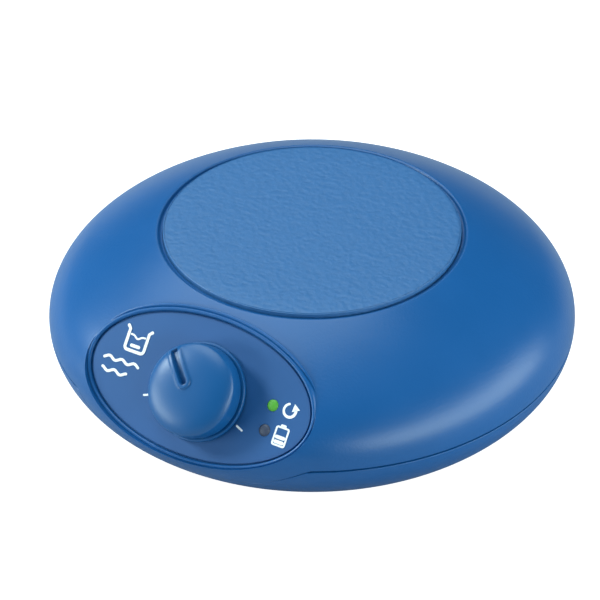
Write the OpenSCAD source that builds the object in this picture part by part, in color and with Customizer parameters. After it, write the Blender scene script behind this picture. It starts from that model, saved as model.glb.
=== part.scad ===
// Low round battery magnetic stirrer.
// Origin at the centre of the base on the table, +Z up, the control panel faces -Y.

/* [Body] */
// Radius of the round housing at its widest
body_r = 71.5; // [70:0.5:74]
// Half height of the ellipse that shapes the housing's side
body_c = 29.4; // [29:0.1:30]
// Height of the widest ring above the table
equator_z = 18.5; // [18:0.1:19]
// Height of the seam between the two shells
seam_z = 18; // [17.5:0.1:18]
// Width of the shadow gap at the seam
seam_gap = 0.5; // [0.3:0.1:0.8]
// Height of the flat underside above the table
underside_z = 1.8; // [1.5:0.1:2]
// Thickness of the moulded walls
wall = 2.2; // [1.8:0.1:2.4]
// Radius where the side ellipse meets the crown arc
shoulder_r = 61.7; // [60:0.1:63]
// Radius of the crown arc between the shoulder and the lip
crown_arc = 103.5; // [95:0.5:110]
// Radius of the lip around the plate's groove
lip_r = 42; // [41.5:0.1:43]
// Lowest point of the upper shell's chin under the panel
chin_z = 6.2; // [6:0.1:9]
// Half width of the chin where it meets the seam
chin_half_w = 36; // [34:0.5:38]

/* [Plate] */
// Radius of the set-up plate that the vessel stands on
plate_r = 40; // [38:0.5:40.5]
// Height of the plate's top, which is the object's height
plate_top_z = 45; // [45:0.1:46]
// Thickness of the plate
plate_t = 1.6; // [1.2:0.1:1.8]

/* [Panel] */
// Tilt of the control panel from horizontal
panel_tilt = 51; // [50:1:52]
// Distance of the panel's centre in front of the body's axis
panel_y = 57.2; // [56.8:0.1:57.6]
// Height of the panel's centre
panel_z = 28.2; // [27.8:0.1:28.6]
// Half length of the printed oval film
film_a = 32.6; // [31:0.1:33]
// Half height of the printed oval film
film_b = 17.9; // [17:0.1:18.2]
// Thickness of the film
film_t = 0.5; // [0.3:0.1:0.6]
// Width of the raised bead around the film
bead_w = 1.5; // [1:0.1:1.7]
// Height of the bead above the film
bead_h = 0.5; // [0.3:0.1:0.8]

/* [Knob] */
// Radius of the knob's grip
knob_r = 12.3; // [11:0.1:12.5]
// Radius of the flange at the knob's foot
flange_r = 13; // [12.8:0.1:13.6]
// Height of the knob's top above the panel
knob_h = 9.2; // [9:0.1:11]
// Pointer's angle from the up-slope direction, anticlockwise from outside
pointer_angle = 42; // [-112:0.1:112]
// Radius of the potentiometer's shaft
pot_shaft_r = 3; // [2.5:0.5:3]

/* [Drive] */
// Radius of the motor's can
motor_r = 16; // [14:0.5:16]
// Radius of the motor's shaft
shaft_r = 1.5; // [1:0.5:2]
// Radius of the disc that carries the magnets
carrier_r = 23; // [21:0.5:25]
// Distance of each magnet from the axis
magnet_offset = 13.5; // [11:0.5:15]
// Radius of each magnet
magnet_r = 7; // [5:0.5:8]

/* [Batteries] */
// Radius of one cell
cell_r = 7.25; // [7:0.05:7.25]
// Length of one cell with its nub
cell_l = 50.5; // [49.5:0.1:50.5]
// Distance between neighbouring cells
cell_pitch = 15.1; // [14.8:0.1:15.1]

/* [Hidden] */

housing_blue = [0.12, 0.37, 0.66];
big = 200;
smooth = 96;
fine = 48;

// Crown arc: tangent to the side ellipse at the shoulder.
shoulder_t = acos(shoulder_r / body_r);
shoulder_z = equator_z + body_c * sin(shoulder_t);
shoulder_slope = atan2(cos(shoulder_t) / body_r, sin(shoulder_t) / body_c);
arc_x = shoulder_r - crown_arc * sin(shoulder_slope);
arc_z = shoulder_z - crown_arc * cos(shoulder_slope);
lip_slope = asin((lip_r - arc_x) / crown_arc);
recess_z = plate_top_z - plate_t;
deck_z = recess_z - 2;
underside_t = asin((underside_z + 0.7 - equator_z) / body_c);
chin_arc = (pow(chin_half_w, 2) + pow(seam_z - chin_z, 2)) / (2 * (seam_z - chin_z));

// Panel and knob
film_gap = 0.3;
led_u = 21.3;
run_led_v = 2;
battery_led_v = -4.7;
led_r = 1.5;
led_spots = [[led_u, run_led_v], [led_u, battery_led_v]];
knob_spot = [0.8, -1.05, 0];
knob_lift = 0.4;
board_depth = 7.2;
board_t = 1.6;
board_posts = [[-20, -6], [-20, 6], [14.5, 9]];
bush_r = 3.5;
run_clear = 0.05;

// Battery bay
bay_x = 30.5;
bay_y = 27.2;
bay_wall = 1.6;
bay_top = 19;
cell_z = 4.25 + cell_r;
cell_xs = [for (i = [-1.5 : 1 : 1.5]) i * cell_pitch];
hatch_x = 30;
hatch_y = 26.5;
hatch_gap = 0.3;
hatch_t = 1.8;
hatch_pin_r = 0.9;
contact_t = 0.4;

// Drive, from the chassis upwards
chassis_t = 1.4;
motor_z = bay_top + chassis_t;
motor_top = motor_z + 13;
bearing_h = 1.2;
yoke_z = motor_top + bearing_h + 0.6;
yoke_t = 1;
carrier_z = yoke_z + yoke_t;
carrier_t = 4.2;
magnet_t = 3.5;
motor_screw_spots = [for (a = [30, 150, 270]) 18.2 * [cos(a), sin(a)]];
motor_flange_r = 21;

// Fasteners, feet, rear board and charging socket
housing_bosses = [for (x = [-48, 48], y = [-17.5, 17.5]) [x, y]];
chassis_bosses = [for (x = [-35, 35], y = [-22, 22]) [x, y]];
foot_spots = [for (x = [-35.4, 35.4], y = [-35.4, 35.4]) [x, y]];
foot_r = 6;
foot_recess = 1;
head_z = 8;
rear_board_z = 5.5;
rear_board_x = 26;
rear_board_y = [31, 54];
rear_posts = [for (x = [-22, 22], y = [35, 49]) [x, y]];
socket_z = 12;
socket_hole_r = 3.9;
socket_wall_y = [63, 66.8];

// Wire routes: round numbers along each wire's way
red_route = [[-22, 29.5, 14], [-22, 31, 14.2], [-21, 33, 13.5], [-20, 34.5, 11.5],
             [-19, 36, 9.5], [-19, 36, 7.2]];
black_route = [[-16, 29.5, 14], [-16, 31, 14.2], [-15.5, 33, 13.5], [-15, 34.5, 11.5],
               [-14, 36, 9.5], [-14, 36, 7.2]];
motor_route = [[0, 16.5, 24], [1, 19, 24.5], [3, 23, 25], [5, 28, 24.5], [6, 32, 22], [7, 34.5, 17],
               [7, 36, 12], [7, 36, 7.2]];
harness_route = [[-15, -54, 17.8], [-15, -52.4, 16.5], [-16, -50, 14.5], [-19, -46.5, 12], [-26, -41, 9.5],
                 [-34, -36, 8], [-39, -30, 7],
                 [-41, -22, 6.5], [-41, -12, 6.2], [-41, 0, 6.2], [-41, 12, 6.2], [-41, 22, 6.5],
                 [-38, 29, 7.5], [-33, 34, 9.5], [-28, 37, 11], [-24.5, 39, 11], [-22.2, 40.2, 9.5],
                 [-22.2, 40.2, 7.2]];

// ---------- shapes ----------

function side_point(t, inset) =
    let (n = [cos(t) / body_r, sin(t) / body_c])
    [body_r * cos(t), equator_z + body_c * sin(t)] - inset * n / norm(n);

function crown_point(a, inset) = [arc_x, arc_z] + (crown_arc - inset) * [sin(a), cos(a)];

// Half outline of the whole housing, from the underside to the lip, moved inwards by inset.
function side_outline(inset) = concat(
    [for (i = [0 : 20]) side_point(underside_t + (shoulder_t - underside_t) * i / 20, inset)],
    [for (i = [1 : 5]) crown_point(shoulder_slope + (lip_slope - shoulder_slope) * i / 5, inset)]);

function oval(a, b, steps = 64) =
    [for (i = [0 : steps - 1]) [a * cos(360 * i / steps), b * sin(360 * i / steps)]];

// Top view of the film's seat, grown by more
function seat_oval(more) = oval(film_a + film_gap + more, film_b + film_gap + more);

module outer_body() {
    rotate_extrude($fn = smooth)
        polygon(concat([[0, underside_z], [side_point(underside_t, 0)[0] - 0.9, underside_z]],
                       side_outline(0), [[lip_r, recess_z], [0, recess_z]]));
}

module inner_body() {
    rotate_extrude($fn = smooth)
        intersection() {
            polygon(concat([[0, underside_z + wall],
                            [side_point(underside_t, wall)[0] - 0.9, underside_z + wall]],
                           side_outline(wall), [[0, crown_point(lip_slope, wall)[1]]]));
            translate([0, underside_z + wall]) square([body_r, deck_z - underside_z - wall]);
        }
}

// The panel's own frame: X along the oval, Y up the slope, Z out of the face.
module on_panel() {
    translate([0, -panel_y, panel_z]) rotate([panel_tilt, 0, 0]) children();
}

module on_knob() {
    on_panel() translate(knob_spot) children();
}

module above_panel(z) {
    on_panel() translate([-big / 2, -big / 2, z]) cube([big, big, big / 2]);
}

module housing_wall() {
    difference() {
        outer_body();
        above_panel(0);
        difference() {
            inner_body();
            above_panel(-wall);
        }
    }
}

module chin_zone(grow) {
    translate([0, -45, chin_z + chin_arc]) rotate([90, 0, 0])
        cylinder(r = chin_arc + grow, h = 40, $fn = smooth);
}

// One round solid at each of a list of places
module at_spots(spots) {
    for (p = spots) translate([p[0], p[1], 0]) children();
}

module post(z0, z1, r) {
    translate([0, 0, z0]) cylinder(r = r, h = z1 - z0, $fn = fine);
}

// Z along the charging plug's way out of the rear, from a depth y
module along_plug(y) {
    translate([0, y, socket_z]) rotate([-90, 0, 0]) children();
}

module tube(z0, z1, r_out, r_in) {
    translate([0, 0, z0]) difference() {
        cylinder(r = r_out, h = z1 - z0, $fn = fine);
        translate([0, 0, -1]) cylinder(r = r_in, h = z1 - z0 + 2, $fn = fine);
    }
}

// A pan-head screw: the head's lower face at z = 0, the shank going down.
module screw(head_r, head_t, shank_r, shank_l) {
    difference() {
        union() {
            cylinder(r = head_r, h = head_t, $fn = fine);
            translate([0, 0, -shank_l]) cylinder(r = shank_r, h = shank_l, $fn = fine);
        }
        for (a = [0, 90]) rotate([0, 0, a])
            translate([-head_r * 0.6, -0.3, head_t * 0.45]) cube([head_r * 1.2, 0.6, head_t]);
    }
}

// A round wire swept along a route with rings square to its way.
function unit(v) = v / norm(v);
function way(route, i) = unit(route[min(i + 1, len(route) - 1)] - route[max(i - 1, 0)]);
module wire(route, r) {
    sides = 8;
    last = len(route) - 1;
    rings = [for (i = [0 : last])
        let (w = way(route, i), s = unit(cross(w, [0.3, 0.2, 1])), u = cross(s, w))
        for (k = [0 : sides - 1]) route[i] + r * (cos(360 * k / sides) * s + sin(360 * k / sides) * u)];
    polyhedron(
        points = rings,
        faces = concat(
            [[for (k = [0 : sides - 1]) k]],
            [for (i = [0 : last - 1], k = [0 : sides - 1])
                let (a = i * sides + k, b = i * sides + (k + 1) % sides) [a, a + sides, b]],
            [for (i = [0 : last - 1], k = [0 : sides - 1])
                let (a = i * sides + k, b = i * sides + (k + 1) % sides) [b, a + sides, b + sides]],
            [[for (k = [sides - 1 : -1 : 0]) last * sides + k]]));
}

// ---------- housing ----------

module top_shell() {
    color(housing_blue) difference() {
        union() {
            intersection() {
                housing_wall();
                union() {
                    translate([-big / 2, -big / 2, seam_z]) cube([big, big, big]);
                    chin_zone(0);
                }
            }
            intersection() {
                outer_body();
                on_panel() linear_extrude(bead_h) difference() {
                    polygon(seat_oval(bead_w));
                    polygon(seat_oval(0));
                }
            }
            intersection() {
                at_spots(housing_bosses) post(seam_z, seam_z + 30, 3.6);
                rotate_extrude($fn = smooth)
                    polygon(concat([[0, seam_z]], side_outline(1), [[0, deck_z]]));
            }
            on_panel() at_spots(board_posts)
                post(-board_depth, -film_t - 0.5, 2.4);
        }
        on_panel() translate([0, 0, -film_t]) linear_extrude(5) polygon(seat_oval(0));
        on_knob() post(-10, 10, bush_r + run_clear);
        on_panel() at_spots(led_spots) post(-10, 10, led_r + 0.1);
        on_panel() at_spots(board_posts) post(-board_depth - 1, 5 - board_depth, 0.9);
        at_spots(housing_bosses) post(seam_z - 1, seam_z + 11, 1.25);
    }
}

module bottom_shell() {
    color([0.1, 0.33, 0.6]) difference() {
        union() {
            intersection() {
                housing_wall();
                translate([-big / 2, -big / 2, -1]) cube([big, big, seam_z - seam_gap + 1]);
            }
            // Tongue that closes the shadow gap from inside
            tube(seam_z - seam_gap - 3, seam_z + 1.5, body_r - wall - 0.1, body_r - wall - 1.3);
            at_spots(housing_bosses) post(underside_z, seam_z - seam_gap, 4.4);
            at_spots(chassis_bosses) post(underside_z + 1, bay_top, 3);
            at_spots(rear_posts) post(underside_z + 1, rear_board_z, 2.6);
            translate([-bay_x - bay_wall, -bay_y - bay_wall, underside_z + 1])
                cube([2 * (bay_x + bay_wall), 2 * (bay_y + bay_wall), bay_top - underside_z - 1]);
            intersection() {
                along_plug(socket_wall_y[0]) post(0, 10, socket_hole_r + 2);
                outer_body();
            }
        }
        chin_zone(0.25);
        // Battery bay, its hatch and the rounded seat for the hatch's rolled edge
        translate([-bay_x, -bay_y, underside_z + wall]) cube([2 * bay_x, 2 * bay_y, 30]);
        translate([-hatch_x, -hatch_y, 0]) cube([2 * hatch_x, 2 * hatch_y, 6]);
        translate([-hatch_x, -hatch_y, underside_z + hatch_pin_r]) rotate([0, 90, 0])
            cylinder(r = hatch_pin_r + hatch_gap, h = 2 * hatch_x, $fn = fine);
        translate([-8, hatch_y - 1, 0]) cube([16, 4, underside_z + 1]);
        // Screws, feet and the charging socket
        at_spots(housing_bosses) {
            post(-1, head_z, 3.2);
            post(0, 30, 1.7);
        }
        at_spots(chassis_bosses) post(bay_top - 9, bay_top + 3, 0.9);
        at_spots(rear_posts) post(underside_z + 1, underside_z + 13, 0.9);
        at_spots(foot_spots) post(underside_z - 1, underside_z + foot_recess, foot_r + 0.1);
        along_plug(50) post(0, 30, socket_hole_r);
        along_plug(socket_wall_y[1]) post(0, 10, socket_hole_r + 1.1);
    }
}

module set_up_plate() {
    color([0.33, 0.52, 0.77]) rotate_extrude($fn = smooth)
        polygon([[0, recess_z], [plate_r, recess_z], [plate_r, plate_top_z - 0.3],
                 [plate_r - 0.3, plate_top_z], [0, plate_top_z]]);
}

module rubber_feet() {
    color([0.12, 0.12, 0.13]) at_spots(foot_spots) rotate_extrude($fn = fine)
        polygon([[0, 0], [foot_r - 1.2, 0], [foot_r - 0.4, 0.4], [foot_r, 1.2],
                 [foot_r, underside_z + foot_recess], [0, underside_z + foot_recess]]);
}

module housing_screws() {
    color([0.6, 0.6, 0.62]) at_spots(housing_bosses) translate([0, 0, head_z]) rotate([180, 0, 0])
        screw(2.8, 1.8, 1.25, 18);
}

// ---------- control panel ----------

module panel_film() {
    color([0.24, 0.39, 0.67]) on_panel() difference() {
        translate([0, 0, -film_t]) linear_extrude(film_t) polygon(oval(film_a, film_b));
        translate(knob_spot) post(-5, 5, 6.5);
        at_spots(led_spots) post(-5, 5, led_r + 0.1);
    }
}

module control_knob() {
    grip_z = 6.4;
    bore_r = pot_shaft_r + run_clear;
    color([0.1, 0.35, 0.6]) on_knob() rotate([0, 0, pointer_angle]) difference() {
        rotate_extrude($fn = smooth)
            polygon(concat([[bore_r, 4], [8, 4], [8, knob_lift], [flange_r, knob_lift], [flange_r, 1.4],
                            [flange_r - 0.6, 2], [knob_r + 0.1, 2.3], [knob_r - 0.2, grip_z]],
                           [for (i = [1 : 8]) let (a = 11.25 * i)
                               [(knob_r - 0.2) - 1.4 * (1 - cos(a)), grip_z + 1.4 * sin(a)]],
                           [[knob_r * 0.72, knob_h - 0.65], [knob_r * 0.45, knob_h - 0.2], [0, knob_h],
                            [0, knob_h - 1.2], [bore_r, knob_h - 1.2]]));
        translate([0, 1.2, knob_h - 1]) cylinder(r = 0.9, h = 3, $fn = fine);
        translate([-0.9, 1.2, knob_h - 1]) cube([1.8, knob_r, 3]);
    }
}

module pot_shaft() {
    color([0.75, 0.75, 0.78]) on_knob() translate([0, 0, -board_depth + 1.2])
        cylinder(r = pot_shaft_r, h = board_depth - 1.2 + knob_h - 1.2 - 0.1, $fn = fine);
}

module potentiometer() {
    color([0.2, 0.22, 0.25]) on_knob() difference() {
        union() {
            post(-board_depth, -wall, 8.5);
            post(-wall - 0.5, 2.8, bush_r);
        }
        post(1 - board_depth, 20, pot_shaft_r + run_clear);
    }
}

module pot_nut() {
    color([0.8, 0.8, 0.82]) on_knob() translate([0, 0, -film_t]) difference() {
        union() {
            cylinder(r = 6.2, h = 0.5, $fn = fine);
            cylinder(r = 5.6, h = 2.4, $fn = 6);
        }
        post(-1, 5, bush_r + run_clear);
    }
}

module control_board() {
    color([0.1, 0.4, 0.2]) on_panel() difference() {
        translate([-25, -12, -board_depth - board_t]) cube([50, 24, board_t]);
        at_spots(board_posts) post(-20, 0, 1.25);
    }
}

module control_board_screws() {
    color([0.7, 0.7, 0.72]) on_panel() at_spots(board_posts)
        translate([0, 0, -board_depth - board_t]) rotate([180, 0, 0]) screw(2, 1.2, 0.9, 6);
}

// A round indicator with its flange and two leads, down to the board.
module led(v) {
    on_panel() translate([led_u, v, 0]) {
        rotate_extrude($fn = fine)
            polygon([[0, -5], [1.9, -5], [1.9, -4], [led_r, -4], [led_r, 0], [led_r * 0.7, 0.35],
                     [0, 0.5]]);
        for (x = [-0.9, 0.9]) translate([x, 0, -board_depth])
            cylinder(r = 0.25, h = board_depth - 4.9, $fn = 16);
    }
}

module run_led() {
    color([0.35, 0.68, 0.25]) led(run_led_v);
}

module battery_led() {
    color([0.25, 0.3, 0.42]) led(battery_led_v);
}

// ---------- drive ----------

module chassis_plate() {
    color([0.72, 0.73, 0.75]) translate([0, 0, bay_top]) difference() {
        union() {
            translate([-bay_x - bay_wall, -bay_y - bay_wall, 0])
                cube([2 * (bay_x + bay_wall), 2 * (bay_y + bay_wall), chassis_t]);
            for (y = [-22, 22]) translate([-38, y - 4, 0]) cube([76, 8, chassis_t]);
        }
        at_spots(chassis_bosses) post(-1, 4, 1.25);
        at_spots(motor_screw_spots) post(-1, 4, 0.9);
    }
}

module chassis_screws() {
    color([0.6, 0.6, 0.62]) at_spots(chassis_bosses) translate([0, 0, bay_top + chassis_t])
        screw(2.3, 1.5, 0.9, 9);
}

module motor_can() {
    color([0.62, 0.63, 0.65]) difference() {
        union() {
            translate([0, 0, motor_z]) cylinder(r = motor_flange_r, h = 1.2, $fn = smooth);
            rotate_extrude($fn = smooth)
                polygon([[0, motor_z], [motor_r, motor_z], [motor_r, motor_top - 1.2],
                         [motor_r - 1.2, motor_top], [0, motor_top]]);
        }
        post(motor_z + 1.5, motor_z + 21.5, 3.2);
        at_spots(motor_screw_spots) post(motor_z - 1, motor_z + 3, 1.25);
    }
}

module motor_screws() {
    color([0.6, 0.6, 0.62]) at_spots(motor_screw_spots) translate([0, 0, motor_z + 1.2])
        screw(1.9, 1.2, 0.9, 2.5);
}

module motor_bearing() {
    color([0.72, 0.55, 0.3]) tube(motor_z + 1.5, motor_top + bearing_h, 3.2, shaft_r + run_clear);
}

module motor_shaft() {
    color([0.8, 0.8, 0.82]) post(motor_z + 1.8, carrier_z + carrier_t - 0.2, shaft_r);
}

module magnet_yoke() {
    color([0.5, 0.52, 0.54]) tube(yoke_z, yoke_z + yoke_t, carrier_r - 1, shaft_r);
}

module magnet_carrier() {
    color([0.85, 0.85, 0.83]) difference() {
        tube(carrier_z, carrier_z + carrier_t, carrier_r, shaft_r);
        at_spots([[-magnet_offset, 0], [magnet_offset, 0]])
            post(carrier_z + carrier_t - magnet_t, carrier_z + carrier_t + 1, magnet_r + run_clear);
    }
}

module drive_magnets() {
    color([0.45, 0.45, 0.48]) at_spots([[-magnet_offset, 0], [magnet_offset, 0]])
        post(carrier_z + carrier_t - magnet_t, carrier_z + carrier_t, magnet_r);
}

// ---------- batteries ----------

// Neighbouring cells lie head to tail.
function cell_way(i) = i % 2 == 0 ? 1 : -1;

module battery_cells() {
    color([0.25, 0.28, 0.3]) for (i = [0 : 3]) translate([cell_xs[i], 0, cell_z])
        rotate([cell_way(i) * -90, 0, 0]) rotate_extrude($fn = fine)
            polygon([[0, -cell_l / 2], [cell_r - 0.6, -cell_l / 2], [cell_r, 0.6 - cell_l / 2],
                     [cell_r, cell_l / 2 - 1.8], [cell_r - 0.6, cell_l / 2 - 1.2], [2.7, cell_l / 2 - 1.2],
                     [2.7, cell_l / 2], [0, cell_l / 2]]);
}

module battery_contacts() {
    color([0.78, 0.76, 0.7]) for (i = [0 : 3]) translate([cell_xs[i], 0, cell_z]) {
        for (y = [-bay_y, bay_y - contact_t]) translate([-5.5, y, -5]) cube([11, contact_t, 10]);
        rotate([cell_way(i) * -90, 0, 0]) translate([0, 0, cell_l / 2])
            cylinder(r = 2, h = bay_y - contact_t - cell_l / 2, $fn = fine);
    }
}

module battery_springs() {
    h = bay_y - contact_t - cell_l / 2;
    color([0.8, 0.8, 0.8]) for (i = [0 : 3]) translate([cell_xs[i], 0, cell_z])
        rotate([cell_way(i) * 90, 0, 0]) translate([0, 0, cell_l / 2]) rotate_extrude($fn = fine)
            polygon([[2.4, 0], [3, 0], [3.6, h / 2], [4.6, h], [4, h], [3, h / 2]]);
}

module battery_cover() {
    pin_z = underside_z + hatch_pin_r;
    color([0.1, 0.33, 0.6]) difference() {
        union() {
            translate([hatch_gap - hatch_x, -hatch_y, pin_z]) rotate([0, 90, 0])
                cylinder(r = hatch_pin_r, h = 2 * (hatch_x - hatch_gap), $fn = fine);
            translate([hatch_gap - hatch_x, -hatch_y, underside_z])
                cube([2 * (hatch_x - hatch_gap), 2 * hatch_y - hatch_gap, hatch_t]);
            translate([-7.5, hatch_y - 1.5, underside_z]) cube([15, 3.6, 0.8]);
        }
        for (i = [-2 : 2]) translate([-12, 14 + 2.4 * i, 0]) cube([24, 1.1, underside_z + 0.5]);
    }
}

module cover_pad() {
    color([0.2, 0.2, 0.22]) for (y = [-14, 8]) translate([-27, y, underside_z + hatch_t])
        cube([54, 6, 0.4]);
}

// ---------- rear board ----------

module main_board() {
    color([0.1, 0.4, 0.2]) difference() {
        translate([-rear_board_x, rear_board_y[0], rear_board_z])
            cube([2 * rear_board_x, rear_board_y[1] - rear_board_y[0], board_t]);
        at_spots(rear_posts) post(0, 20, 1.25);
    }
}

module main_board_screws() {
    color([0.7, 0.7, 0.72]) at_spots(rear_posts) translate([0, 0, rear_board_z + board_t])
        screw(2, 1.2, 0.9, 4);
}

module board_parts() {
    top = rear_board_z + board_t;
    color([0.15, 0.15, 0.17]) {
        translate([-9, 38, top]) cube([7, 7, 1.4]);
        translate([8, 41, top]) cube([6, 5, 1.6]);
        translate([19, 42, top]) cylinder(r = 3.2, h = 7, $fn = fine);
        translate([-15, 42.5, top]) cube([4.5, 4.5, 3]);
    }
}

module dc_socket() {
    top = rear_board_z + board_t;
    face_y = socket_wall_y[0] - 0.1;
    color([0.1, 0.1, 0.11]) {
        difference() {
            translate([-4.5, face_y - 14.4, top]) cube([9, 14.4, 9.8]);
            translate([-5, face_y - 1, top - 1]) cube([10, 2, 2]);
            along_plug(face_y - 10) post(0, 20, 3.1);
        }
        along_plug(face_y - 10.5) post(0, 9.5, 1.05);
    }
}

module battery_leads() {
    color([0.7, 0.1, 0.1]) wire(red_route, 0.7);
    color([0.1, 0.1, 0.1]) wire(black_route, 0.7);
}

module motor_leads() {
    color([0.8, 0.7, 0.2]) for (x = [0, 2]) translate([x, 0, 0]) wire(motor_route, 0.6);
}

module panel_harness() {
    color([0.3, 0.3, 0.32]) wire(harness_route, 1.3);
}

top_shell();
bottom_shell();
set_up_plate();
panel_film();
control_knob();
pot_shaft();
potentiometer();
pot_nut();
control_board();
control_board_screws();
run_led();
battery_led();
motor_can();
motor_bearing();
motor_shaft();
magnet_carrier();
magnet_yoke();
drive_magnets();
chassis_plate();
motor_screws();
chassis_screws();
battery_cells();
battery_contacts();
battery_springs();
battery_cover();
cover_pad();
rubber_feet();
housing_screws();
main_board();
main_board_screws();
board_parts();
dc_socket();
battery_leads();
motor_leads();
panel_harness();
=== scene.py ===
# Looks of a low round battery magnetic stirrer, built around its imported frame.
import math

import bmesh
import bpy
import numpy as np
from bpy.props import FloatProperty, FloatVectorProperty, IntProperty, PointerProperty
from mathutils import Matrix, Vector
from mathutils.geometry import delaunay_2d_cdt


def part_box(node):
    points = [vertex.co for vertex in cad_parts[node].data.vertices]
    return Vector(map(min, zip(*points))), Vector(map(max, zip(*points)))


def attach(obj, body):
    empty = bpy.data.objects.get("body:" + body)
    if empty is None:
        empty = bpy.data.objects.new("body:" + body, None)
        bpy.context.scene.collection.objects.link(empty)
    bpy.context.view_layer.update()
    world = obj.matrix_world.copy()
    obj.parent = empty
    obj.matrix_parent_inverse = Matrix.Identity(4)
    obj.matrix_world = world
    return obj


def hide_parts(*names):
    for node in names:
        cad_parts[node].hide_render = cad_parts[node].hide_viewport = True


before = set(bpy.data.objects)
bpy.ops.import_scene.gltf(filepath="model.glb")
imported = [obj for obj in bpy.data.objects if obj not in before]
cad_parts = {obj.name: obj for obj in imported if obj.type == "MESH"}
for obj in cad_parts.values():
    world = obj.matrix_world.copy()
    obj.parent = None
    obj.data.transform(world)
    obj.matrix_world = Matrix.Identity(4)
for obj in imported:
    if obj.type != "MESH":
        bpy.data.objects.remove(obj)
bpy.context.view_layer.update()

bl_info = {
    "name": "Magnetic Stirrer",
    "version": (1, 0, 0),
    "blender": (4, 5, 0),
    "location": "View3D > Sidebar > Stirrer",
    "description": "Builds the visible pieces and finishes of a magnetic stirrer",
    "category": "Object",
}

MM = 0.001
SHELL_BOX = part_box("top_shell")
PLATE_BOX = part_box("set_up_plate")
FILM_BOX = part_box("panel_film")
HATCH_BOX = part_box("battery_cover")
FOOT_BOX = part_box("rubber_feet")

# Places shared by several pieces; u runs along the panel and v up it, from its centre
KNOB_U, KNOB_V = 0.8 * MM, -1.05 * MM
LED_U, LED_VS = 21.3 * MM, (2 * MM, -4.7 * MM)
FOOT_RADIUS = 6 * MM
SCREW_SPOTS = [(x * MM, y * MM) for x in (-48, 48) for y in (-17.5, 17.5)]

# Finer shape of the shells
OVAL_POINTS = 400
FRONT_TURN = math.radians(51)  # half of the front that is filled around the panel
BACK_TURN = math.radians(12)  # half of the back that is filled around the plug's hole
CHIN_TURN = math.radians(29.6)  # half of the front where the shadow gap closes up
CHIN_GAP = 0.16 * MM
EDGE_ROUND = 0.22 * MM
CUT_ROUND = 0.2 * MM  # rounding of the openings in the underside
LAP = 2.4 * MM
LAP_INSET = 1.0 * MM
BEAD_CREST = 0.5 * MM
LIP_ROUND = 0.8 * MM
GROOVE_SLANT = math.radians(52)
GROOVE_DEPTH = 1.35 * MM
FILM_DEPTH = 0.5 * MM
PRINT_RISE = 0.03 * MM


# ---------------------------------------------------------------- settings


class StirrerShape(bpy.types.PropertyGroup):
    """Driving sizes of the visible pieces."""

    body_radius: FloatProperty(
        name="Body Radius", description="Radius of the housing's widest ring",
        default=SHELL_BOX[1].x, unit="LENGTH")
    body_rise: FloatProperty(
        name="Body Rise", description="Half height of the ellipse that shapes the side",
        default=29.4 * MM, unit="LENGTH")
    equator: FloatProperty(
        name="Equator", description="Height of the widest ring above the table",
        default=18.5 * MM, unit="LENGTH")
    shoulder_radius: FloatProperty(
        name="Shoulder Radius", description="Where the side's ellipse meets the crown's arc",
        default=61.7 * MM, unit="LENGTH")
    crown_radius: FloatProperty(
        name="Crown Radius", description="Radius of the crown's arc in the side view",
        default=103.5 * MM, unit="LENGTH")
    lip_radius: FloatProperty(
        name="Lip Radius", description="Inner edge of the crown, around the plate's groove",
        default=42 * MM, unit="LENGTH")
    underside: FloatProperty(
        name="Underside", description="Height of the flat underside above the table",
        default=HATCH_BOX[0].z, unit="LENGTH")
    wall: FloatProperty(
        name="Wall", description="Thickness of the moulded shells",
        default=2.2 * MM, unit="LENGTH")
    seam: FloatProperty(
        name="Seam", description="Height of the upper shell's edge",
        default=18 * MM, unit="LENGTH")
    seam_gap: FloatProperty(
        name="Seam Gap", description="Width of the shadow gap between the shells",
        default=0.5 * MM, unit="LENGTH")
    chin_depth: FloatProperty(
        name="Chin Depth", description="How far the upper shell dips below the panel",
        default=11.8 * MM, unit="LENGTH")
    chin_half_width: FloatProperty(
        name="Chin Half Width", description="Half width of the dip where it leaves the seam",
        default=36 * MM, unit="LENGTH")
    panel_tilt: FloatProperty(
        name="Panel Tilt", description="Tilt of the control panel from horizontal",
        default=math.radians(51), subtype="ANGLE")
    panel_height: FloatProperty(
        name="Panel Height", description="Height of the panel's centre",
        default=28.2 * MM, unit="LENGTH")
    panel_front: FloatProperty(
        name="Panel Front", description="Distance of the panel's centre in front of the axis",
        default=57.2 * MM, unit="LENGTH")
    film_half_length: FloatProperty(
        name="Film Half Length", description="Half length of the printed oval",
        default=FILM_BOX[1].x, unit="LENGTH")
    film_half_height: FloatProperty(
        name="Film Half Height", description="Half height of the printed oval",
        default=17.9 * MM, unit="LENGTH")
    columns: IntProperty(
        name="Columns", description="Points around the housing", default=480, min=120)


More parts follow.
